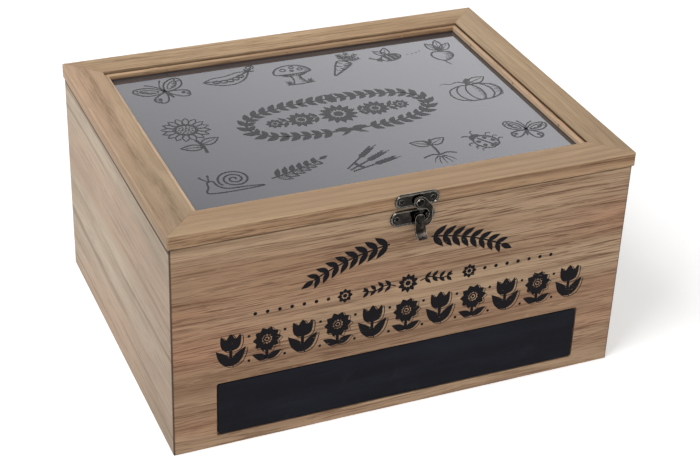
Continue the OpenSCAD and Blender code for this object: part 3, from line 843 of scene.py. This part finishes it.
def mushroom(pen):
    cap = through([(-11.5, 2.6), (-9.6, 8.4), (-4.0, 12.2), (4.0, 12.2), (9.6, 8.4), (11.5, 2.6),
            (6.0, 1.2), (0.0, 0.8), (-6.0, 1.2)], True)
    pen.loop(cap, 0.75)
    pen.hatch(cap, 0.2)
    for i in range(11):
        across = -9.5 + 1.9 * i
        pen.line([(across, 1.6), (0.5 * across, -1.8)], 0.4)
    for side in (-1, 1):
        pen.line(through([(side * 3.0, -1.4), (side * 2.6, -6.0), (side * 4.4, -12.0)]), 0.7)
        for lean, length in ((8, 5.5), (28, 6.5), (50, 4.5)):
            root = (side * 5.4, -12.4)
            pen.leaf(root, polar(root, length, 90 - side * lean), 1.2)
    stem = [(-3.0, -1.4), (-2.6, -6.0), (-4.4, -12.0), (4.4, -12.0), (2.6, -6.0), (3.0, -1.4)]
    pen.hatch(stem, 0.4)
    pen.line(through([(-8.6, -12.2), (0.0, -13.0), (8.6, -12.2)]), 0.6)
    for centre, radius in (((-4.6, 7.4), 1.7), ((1.6, 9.4), 1.4), ((5.8, 6.0), 1.5), ((0.4, 5.2), 1.0)):
        pen.ring(centre, radius, 0.5, 14)


def sunflower(pen):
    middle = (0.0, 5.0)
    for i in range(16):
        angle = 22.5 * i
        pen.loop(leaf_outline(polar(middle, 4.6, angle), polar(middle, 10.4, angle), 3.0), 0.5)
    pen.ring(middle, 4.3, 0.7)
    for ring, count in ((0.0, 1), (1.5, 6), (2.9, 11)):
        for i in range(count):
            pen.dot(polar(middle, ring, 360 * i / count), 0.5, 8)
    pen.line(through([(0.0, -5.4), (0.8, -11.0), (0.0, -17.0)]), 1.1)
    pen.open_leaf((0.6, -9.6), (9.6, -6.6), 5.0, 0.6)
    pen.open_leaf((0.6, -12.0), (-8.6, -9.4), 5.0, 0.6)


def half_butterfly(pen):
    upper = through([(0.6, 1.2), (4.6, 8.6), (12.0, 11.4), (14.6, 8.0), (11.4, 2.0), (5.0, -0.2)], True)
    lower = through([(0.6, -0.8), (6.0, -1.6), (10.6, -5.0), (8.4, -10.2), (4.0, -8.6)], True)
    pen.loop(upper, 0.7)
    pen.loop(lower, 0.7)
    pen.hatch(lower, 0.3)
    patch = through([(2.8, 2.2), (6.4, 7.0), (10.6, 8.6), (11.2, 6.4), (7.6, 2.8)], True)
    pen.loop(patch, 0.45)
    pen.hatch(patch, 0.6, 0.9)
    for centre, radius in (((11.9, 9.6), 0.7), ((12.9, 7.4), 0.6), ((7.4, -5.6), 1.2), ((8.4, -8.2), 0.6)):
        pen.dot(centre, radius, 10)
    pen.line(through([(0.3, 5.6), (2.2, 9.6), (4.6, 12.6)]), 0.45)
    pen.dot((4.7, 12.8), 0.6, 10)


def butterfly(pen):
    half_butterfly(pen)
    half_butterfly(Pen(pen.sheet, pen.at, math.degrees(pen.turn), pen.size, flip=True))
    pen.fill(arc((0.0, -1.0), (1.1, 7.0), 0, 360, 16)[:-1])


def bee(pen):
    length, girth = 6.6, 4.2
    pen.loop(arc((0.0, 0.0), (length, girth), 0, 360, 22)[:-1], 0.7)
    for across in (-2.6, 0.6, 3.6):
        reach = girth * math.sqrt(1 - (across / length) ** 2)
        pen.line([(across, -reach), (across + 0.5, 0.0), (across, reach)], 1.6)
    pen.dot((-7.6, 0.4), 2.1)
    for tip, width in (((-4.4, 12.0), 4.6), ((4.2, 12.4), 5.2)):
        pen.open_leaf((-0.6, 3.8), tip, width, 0.55)
    for side in (0, 1):
        pen.line(through([(-8.6, 1.8), (-10.6, 3.4 + side), (-12.0 + side, 5.2 + side)]), 0.4)
    for i in range(4):
        pen.dot((10.6 + 3.0 * i, -2.0 - 0.5 * i * (3 - i)), 0.5, 8)


def snail(pen):
    pen.line(spiral((2.4, 0.6), 0.6, 8.4, 2.7, -40, 54), 0.75)
    foot = [(-14.0, -8.6), (-12.0, -3.6), (-11.2, 1.0), (-8.2, 1.4), (-7.2, -3.4), (-3.4, -7.2),
            (6.0, -8.0), (14.6, -9.6), (4.0, -10.4), (-8.0, -10.2)]
    pen.loop(through(foot, True), 0.7)
    for tip in ((-13.4, 6.6), (-9.0, 7.2)):
        pen.line(through([(-10.2, 1.4), ((tip[0] - 10.4) / 2, 3.8), tip]), 0.55)
        pen.dot(tip, 0.8, 10)


def sprig(pen):
    stem = through([(-14.0, -9.0), (-5.0, -3.6), (5.0, 3.0), (14.0, 10.0)])
    pen.line(stem, 0.8, taper=True)
    for i in range(6):
        knot = stem[2 + 2 * i]
        for lean in (-52, 48):
            tip = polar(knot, 8.6 - 0.7 * i, 34 + lean)
            if lean > 0:
                pen.leaf(knot, tip, 3.2)
            else:
                pen.open_leaf(knot, tip, 3.4, 0.5)
    pen.leaf(stem[-2], polar(stem[-2], 6.0, 38), 2.8)


def pumpkin(pen):
    core = arc((0.0, -2.0), (3.8, 8.2), 0, 360, 20)[:-1]
    pen.loop(core, 0.65)
    pen.hatch(core, 0.35)
    pen.hatch([(u + 10.0, 0.86 * v - 0.3) for u, v in core], 0.6)
    for side in (-1, 1):
        for shift, wide, high in ((3.2, 5.6, 8.0), (6.8, 6.0, 7.0)):
            start, end = (-68, 68) if side > 0 else (112, 248)
            pen.line(arc((side * shift, -2.0), (wide, high), start, end, 12), 0.65)
        pen.line(through([(side * 9.0, 4.4), (side * 5.4, 5.9), (0.0, 6.1)]), 0.65)
        pen.line(through([(side * 9.0, -8.4), (side * 5.4, -10.0), (0.0, -10.2)]), 0.65)
    pen.fill([(-1.3, 5.6), (1.3, 5.6), (1.1, 9.4), (3.4, 11.6), (1.4, 12.6), (-0.9, 10.4)])
    pen.open_leaf((1.6, 8.0), (11.0, 11.6), 6.0, 0.6)
    tendril = through([(-1.0, 8.4), (-4.4, 10.4), (-8.0, 9.0), (-11.6, 10.6), (-14.0, 8.6)])
    pen.line(tendril, 0.5, taper=True)


def wheat(pen):
    for lean, foot in ((-13, -4.0), (0, 0.0), (13, 4.0)):
        angle = 90 - lean
        base = (foot * 0.5, -15.0)
        pen.line([base, polar(base, 9.0, angle), polar(base, 18.0, angle)], 0.7)
        for i in range(5):
            knot = polar(base, 15.0 + 2.6 * i, angle)
            for side in (-26, 26):
                pen.leaf(knot, polar(knot, 4.2, angle + side), 1.7)
            pen.line([knot, polar(knot, 7.0, angle + (9 if i % 2 else -9))], 0.35)
    pen.line([(-3.4, -7.4), (0.0, -8.2), (3.4, -7.4)], 1.3)


def seedling(pen):
    pen.line(through([(0.0, -9.0), (0.5, -2.0), (0.0, 4.0)]), 0.9)
    pen.open_leaf((0.0, 3.6), (10.4, 8.8), 6.4, 0.65)
    pen.open_leaf((0.0, 3.6), (-10.4, 8.8), 6.4, 0.65)
    pen.leaf((0.1, 4.4), (2.2, 10.0), 2.4)
    pen.leaf((-0.1, 4.4), (-2.2, 9.2), 2.2)
    pen.line(through([(-10.0, -9.4), (-4.0, -7.4), (0.0, -8.6), (5.0, -7.2), (10.0, -9.4)]), 0.7)
    for i in range(5):
        lean = -60 + 30 * i
        top = polar((0.0, -9.0), 1.4, 270 + lean)
        root = [top, polar(top, 4.4, 270 + 0.8 * lean), polar(top, 8.6, 270 + 0.6 * lean)]
        pen.line(through(root), 0.6, taper=True)


def ladybird(pen):
    shell = arc((0.0, -1.6), (7.0, 8.0), -62, 242, 24)
    pen.loop(shell, 0.7)
    pen.hatch(shell, 0.18)
    pen.fill(arc((0.0, 6.2), (4.4, 3.4), -10, 190, 14))
    pen.line([(0.0, 4.8), (0.0, -2.0), (0.0, -9.4)], 0.7)
    for side in (-1, 1):
        for centre, radius in (((3.2, 1.8), 1.5), ((4.0, -3.4), 1.4), ((1.9, -6.8), 1.1)):
            pen.dot((side * centre[0], centre[1]), radius)
        pen.line(through([(side * 1.6, 9.0), (side * 3.0, 11.6), (side * 5.2, 12.6)]), 0.5)
        for height in (3.4, -1.6, -5.8):
            start = (side * 6.6, height)
            pen.line([start, (side * 9.2, height + 1.2), (side * 10.6, height - 0.8)], 0.5)


def evenly(ring, count):
    """The given number of places along a closed line, all the same distance apart."""
    spans = [math.dist(here, there) for here, there in zip(ring, ring[1:] + ring[:1])]
    step, gone, i, places = sum(spans) / count, 0.0, 0, []
    for k in range(count):
        while gone + spans[i] < k * step:
            gone += spans[i]
            i += 1
        part = (k * step - gone) / spans[i]
        here, there = ring[i], ring[(i + 1) % len(ring)]
        places.append((here[0] + (there[0] - here[0]) * part, here[1] + (there[1] - here[1]) * part))
    return places


def full_oval(wide, high, steps=240):
    """An oval with blunt ends, from its lowest place round."""
    def blunt(part):
        return math.copysign(abs(part) ** 0.8, part)
    angles = [math.radians(-90 + 360 * i / steps) for i in range(steps)]
    return [(wide * blunt(math.cos(a)), high * blunt(math.sin(a))) for a in angles]


def wreath(pen):
    """The middle of the glass: a bold oval wreath, tied below, round five flowers."""
    wide, high, count = 58.0, 20.5, 42
    oval = evenly(full_oval(wide, high), count)
    pen.loop(oval, 0.9)
    for i, knot in enumerate(oval):
        if abs(knot[0]) < 8 and knot[1] < 0:
            continue
        ahead = oval[(i + (1 if knot[0] >= 0 else -1)) % count]
        run = math.degrees(math.atan2(ahead[1] - knot[1], ahead[0] - knot[0]))
        inner = 44 if knot[0] >= 0 else -44
        pen.leaf(knot, polar(knot, 8.8, run - inner), 4.3)
        pen.leaf(knot, polar(knot, 7.4, run + inner), 3.7)
    daisy(pen, (0.0, 0.4), 12.2, 14, 3.2)
    for side in (-1, 1):
        daisy(pen, (side * 24.0, 0.4), 9.2, 12, 2.3)
        daisy(pen, (side * 40.6, 0.4), 5.6, 9, 1.5)
        for near, lean in ((13.4, 62), (13.4, -62), (32.6, 58), (32.6, -58)):
            tip = polar((near, 0.4), 7.6, lean)
            pen.leaf((side * near, 0.4), (side * tip[0], tip[1]), 3.0)
        pen.leaf((0.0, -high), (side * 10.4, -high + 2.2), 5.6)
        pen.leaf((0.0, -high), (side * 8.4, -high - 6.0), 2.6)
    pen.dot((0.0, -high), 1.9)


# Name, motif, place on the glass, turn and size
GLASS_PRINTS = (
    ("butterfly", butterfly, (-89.0, 60.0), 18, 1.15),
    ("pea_pod", pea_pod, (-47.0, 64.0), 12, 1.0),
    ("mushroom", mushroom, (-6.0, 58.0), 0, 1.05),
    ("carrot", carrot, (28.0, 61.0), -38, 1.05),
    ("bee", bee, (62.0, 62.0), 14, 1.1),
    ("radish", radish, (96.0, 58.0), -12, 1.1),
    ("sunflower", sunflower, (-92.0, 2.0), 6, 1.4),
    ("pumpkin", pumpkin, (92.0, 2.0), 0, 1.3),
    ("snail", snail, (-88.0, -56.0), 0, 1.15),
    ("sprig", sprig, (-48.0, -56.0), -14, 1.1),
    ("wheat", wheat, (-6.0, -60.0), -62, 1.05),
    ("seedling", seedling, (36.0, -58.0), 0, 1.05),
    ("ladybird", ladybird, (68.0, -60.0), 32, 1.0),
    ("small_butterfly", butterfly, (98.0, -56.0), -20, 0.9),
    ("wreath", wreath, (0.0, -1.0), 0, 1.0),
)


def glass_prints(ink_material):
    """Line drawings on the glass round a wreath; each is a piece of its own."""
    for name, motif, place, turn, size in GLASS_PRINTS:
        sheet = Print(glass_face, weight=1.7)
        motif(Pen(sheet, place, turn, size))
        sheet.finish("glass_" + name, "lid", ink_material)


# The set

# Soft light from all round, and what mirrors see: a wall whose brightness runs along a slope, and a panel
SOFT_LEVEL = 0.5
WALL_SLOPE = (2.8, 0.0, -8.0)
WALL_SHIFT = 4.3
WALL_LOW = 0.6
WALL_HIGH = 2.2
PANEL_LEVEL = 2.2

LAMP_AIM = Vector((0.0, 0.0, 0.08))
FLOOR_HALF = 6.0
FLOOR_GLOW = 0.28


def material_of(node, material):
    """Gives a CAD node one material."""
    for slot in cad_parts[node].material_slots:
        slot.material = material


def dress_boards():
    """Every board has a finish of its own, so that no two share their grain."""
    wall = dict(half=WALL_HALF, edge=wall_edge)
    lid = dict(half=LID_HALF, edge=lid_edge)
    bead = dict(edge=bead_edge)
    inside = dict(contrast=0.6)
    # Some boards get a ramp of painted shade towards one end or side
    boards = {
        "front_panel": ("X", 3, FRONT_TONE, dict(contrast=1.15, lines=0.34, **wall)),
        "back_panel": ("X", 8, FRONT_TONE, wall),
        "left_panel": ("Y", 5, SIDE_TONE, dict(contrast=0.5, rings=60.0, lines=0.48,
            shade_ramp=(1, FRONT_Y, 0.03, 0.8), **wall)),
        "right_panel": ("Y", 11, SIDE_TONE, dict(contrast=0.5, rings=64.0, **wall)),
        "bottom_panel": ("X", 14, INNER_TONE, inside),
        "long_divider": ("X", 17, INNER_TONE, inside),
        "left_cross_divider": ("Y", 19, INNER_TONE, inside),
        "right_cross_divider": ("Y", 23, INNER_TONE, inside),
        "lid_front_rail": ("X", 29, RAIL_TONE, dict(cap=(LID_TOP - 0.0009, RAIL_TOP_LIT),
            shade_ramp=(0, -0.14, -0.02, 0.92), **lid)),
        "lid_back_rail": ("X", 31, LID_TONE, dict(contrast=1.1, lines=0.4,
            shade_ramp=(0, -0.14, 0.02, 0.82), **lid)),
        "lid_left_stile": ("Y", 37, STILE_TONE, dict(contrast=0.5, lines=0.16, streak=(-0.1305, 0.0046),
            shade_ramp=(1, FRONT_Y, 0.1, 0.72), **lid)),
        "lid_right_stile": ("Y", 41, RIGHT_TONE, dict(contrast=0.65, lines=0.18,
            shade_ramp=(1, FRONT_Y, 0.03, 0.89), **lid)),
        "front_glazing_bead": ("X", 43, BEAD_TONE, bead),
        "back_glazing_bead": ("X", 47, BACK_BEAD_TONE, dict(edge=back_bead_edge)),
        "left_glazing_bead": ("Y", 53, BEAD_TONE, bead),
        "right_glazing_bead": ("Y", 59, BEAD_TONE, bead),
    }
    for node, (grain, seed, tone, look) in boards.items():
        material_of(node, wood(node + "_wood", grain, seed, tone, **look))


def soften(node, width):
    """Rounds a node's sharp edges a little, so that they catch the light."""
    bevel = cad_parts[node].modifiers.new("edge_round", "BEVEL")
    bevel.width = width
    bevel.segments = 2
    bevel.limit_method = "ANGLE"
    bevel.angle_limit = math.radians(50)


def dress_hardware():
    """Metal for the latch and the hinges, paint for the plate, and the glass."""
    latch = metal("aged_gunmetal", *GUNMETAL, 0.1)
    hinge = metal("aged_bronze", *BRONZE, 0.26)
    lid_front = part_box("lid_front_rail")[0][1]
    finishes = {
        "latch_plate": metal("lid_plate_gunmetal", *GUNMETAL, 0.12, lid_front - PLATE_FIELD),
        "keeper_plate": metal("box_plate_gunmetal", *GUNMETAL, 0.12, FRONT_Y - PLATE_FIELD),
        "swing_hook": metal("hook_gunmetal", *HOOK_GUNMETAL, 0.12),
        "bottom_nails": metal("nail_steel", *STEEL, 0.3),
        "glazing_brads": ink("brad_putty", *PUTTY_INK),
        "chalkboard_plate": chalkboard(),
        "glass_pane": glass(),
    }
    for node in ("latch_rivet", "keeper_post", "latch_nails", "keeper_nails"):
        finishes[node] = latch
    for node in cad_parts:
        if "hinge" in node:
            finishes[node] = hinge
    for node, finish in finishes.items():
        material_of(node, finish)
    for node in ("latch_plate", "keeper_plate", "swing_hook", "latch_rivet", "keeper_post"):
        soften(node, HARDWARE_ROUND)


def lamp(name, place, power, size):
    """A square soft lamp that faces the middle of the box."""
    data = bpy.data.lights.new(name, "AREA")
    data.energy = power
    data.size = size
    made = placed(name, data)
    made.location = place
    made.rotation_euler = (LAMP_AIM - Vector(place)).to_track_quat("-Z", "Y").to_euler()


def studio_world():
    """White for the camera and through the glass. Mirrors see a wall behind the box, brighter to the
    right and low down, and a dark room in front with one bright panel high up. All else gets a soft
    even light."""
    world = bpy.data.worlds.new("studio")
    bpy.context.scene.world = world
    world.use_nodes = True
    nodes = Nodes(world.node_tree)
    path = nodes.node("LightPath").outputs
    direction = nodes.node("TexCoord").outputs["Generated"]
    _, along, up = nodes.axes(direction)

    slope = nodes.vector("DOT_PRODUCT", direction, WALL_SLOPE)
    wall = nodes.span(slope, WALL_LOW - WALL_SHIFT, WALL_HIGH - WALL_SHIFT, WALL_LOW, WALL_HIGH, "LINEAR")
    wall = nodes.times(wall, nodes.span(along, -0.7, 0.3, 0.3, 1.0))
    panel = nodes.times(nodes.span(up, 0.5, 0.62), nodes.span(up, 0.86, 0.95, 1.0, 0.0))
    panel = nodes.times(panel, nodes.span(along, -0.45, -0.15, PANEL_LEVEL, 0.0))
    room = nodes.math("ADD", wall, panel)

    seen = nodes.math("MAXIMUM", path["Is Camera Ray"], path["Is Transmission Ray"])
    plain = nodes.between(seen, SOFT_LEVEL, 1.0)
    background = world.node_tree.nodes["Background"]
    background.inputs["Color"].default_value = WHITE
    nodes.feed(background.inputs["Strength"], nodes.between(path["Is Glossy Ray"], plain, room))


def pale_floor():
    """The surface that the box stands on. The camera sees it white, with the soft shadow of the box."""
    graph = Graph("floor_paper")
    cloud = graph.noise(graph.place, 2.0)
    seen = graph.node("LightPath").outputs["Is Camera Ray"]
    graph.set(Base_Color=graph.mix(cloud, rgb(248, 248, 248), rgb(246, 246, 246)), Roughness=0.9)
    graph.set(Specular_IOR_Level=0.0, Emission_Color=WHITE, Emission_Strength=graph.times(seen, FLOOR_GLOW))
    mesh = bmesh.new()
    bmesh.ops.create_grid(mesh, x_segments=8, y_segments=8, size=FLOOR_HALF)
    floor = object_of("floor", mesh, graph.material)


def photo_camera():
    data = bpy.data.cameras.new("camera")
    data.lens = CAMERA_LENS
    data.sensor_width = 36.0
    data.clip_start = 0.02
    made = placed("camera", data)
    made.location = CAMERA_PLACE
    made.rotation_euler = [math.radians(part) for part in CAMERA_TURN]
    bpy.context.scene.camera = made


photo_camera()
studio_world()
pale_floor()
lamp("key", (-1.3, -0.55, 2.0), 34.0, 1.1)
lamp("fill", (1.5, -1.6, 1.3), 7.0, 1.4)
bpy.context.scene.view_settings.view_transform = "Standard"

dress_boards()
dress_hardware()
front_prints(ink("front_ink", *FRONT_INK))
glass_prints(ink("glass_ink", *GLASS_INK))
